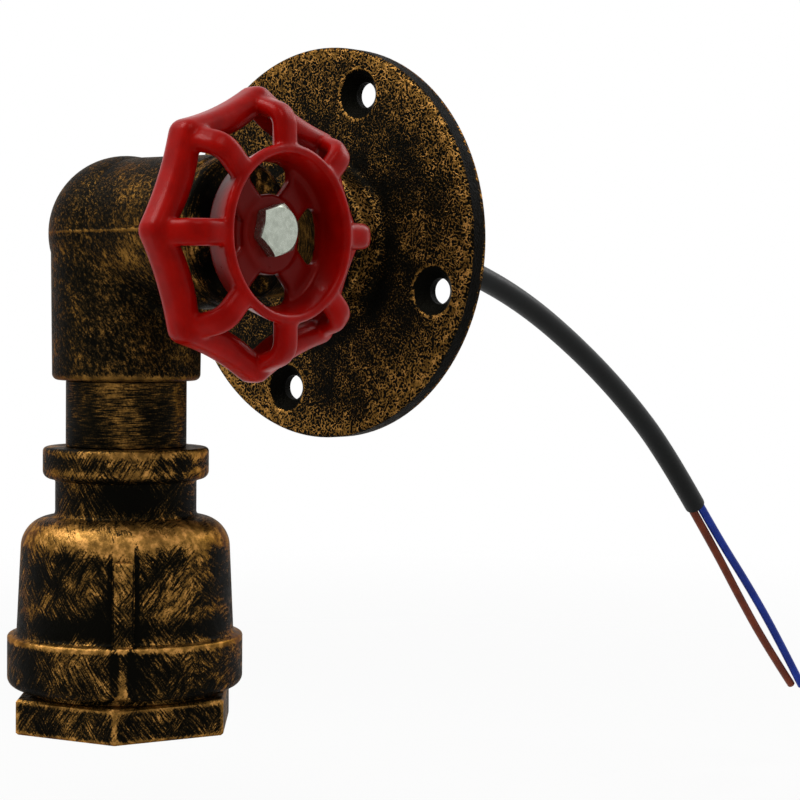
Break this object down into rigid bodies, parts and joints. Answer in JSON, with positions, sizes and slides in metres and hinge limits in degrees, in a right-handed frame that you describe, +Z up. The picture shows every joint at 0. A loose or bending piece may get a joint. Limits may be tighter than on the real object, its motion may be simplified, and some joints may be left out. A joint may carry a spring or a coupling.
{
  "type": "pipe wall light",
  "caption": "Industrial pipe wall light: round screw flange, side-outlet elbow, bell-shaped lamp cup with hexagon mouth, red lobed handwheel and a stripped supply cable.",
  "frame": {"origin": "centre of the wall flange's back face, on the axis of the horizontal pipe", "axes": "+Y into the wall (the light stands out towards -Y), +Z up, +X along the sideways leg towards the handwheel"},
  "size_m": [0.099, 0.3254, 0.185],
  "materials": {
    "antique_iron": "black coating brushed through to bronze",
    "antique_steel": "black coating brushed through to bronze",
    "red_enamel": "gloss red paint",
    "zinc": "zinc plated",
    "porcelain": "glazed",
    "brass": "bright",
    "bronze": "bright",
    "fibre": "vulcanised fibre",
    "grommet_rubber": "matt",
    "black_sheath": "satin",
    "brown_insulation": "satin",
    "blue_insulation": "satin"
  },
  "bodies": {
    "fitting": {"wall_flange": "antique_iron", "flange_nipple": "antique_steel", "corner_elbow": "antique_iron", "drop_nipple": "antique_steel", "bell_cup": "antique_iron", "hex_bush": "antique_iron", "branch_plug": "antique_iron", "wheel_bolt": "zinc", "lampholder_body": "porcelain", "cushion_ring": "fibre", "screw_shell": "brass", "shell_rivets": "brass", "neutral_terminal": "brass", "line_terminal": "brass", "terminal_screws": "zinc", "contact_rivet": "bronze", "cable_grommet": "grommet_rubber", "supply_cable": "black_sheath", "inner_cable": "black_sheath", "brown_tail": "brown_insulation", "blue_tail": "blue_insulation", "brown_lead": "brown_insulation", "blue_lead": "blue_insulation"},
    "wheel": {"handwheel": "red_enamel"},
    "contact_leaf": {"centre_contact": "bronze"}
  },
  "joints": [
    {"name": "wheel_spin", "type": "hinge", "parent": "fitting", "child": "wheel", "pos_m": [0.0405, -0.0685, -0.0009], "axis": [1, 0, 0], "continuous": true},
    {"name": "contact_give", "type": "hinge", "parent": "fitting", "child": "contact_leaf", "pos_m": [-0.0054, -0.0685, -0.0791], "axis": [0, -1, 0], "range_deg": [0, 10.5], "stiffness_Nm_per_rad": 0.18}
  ]
}
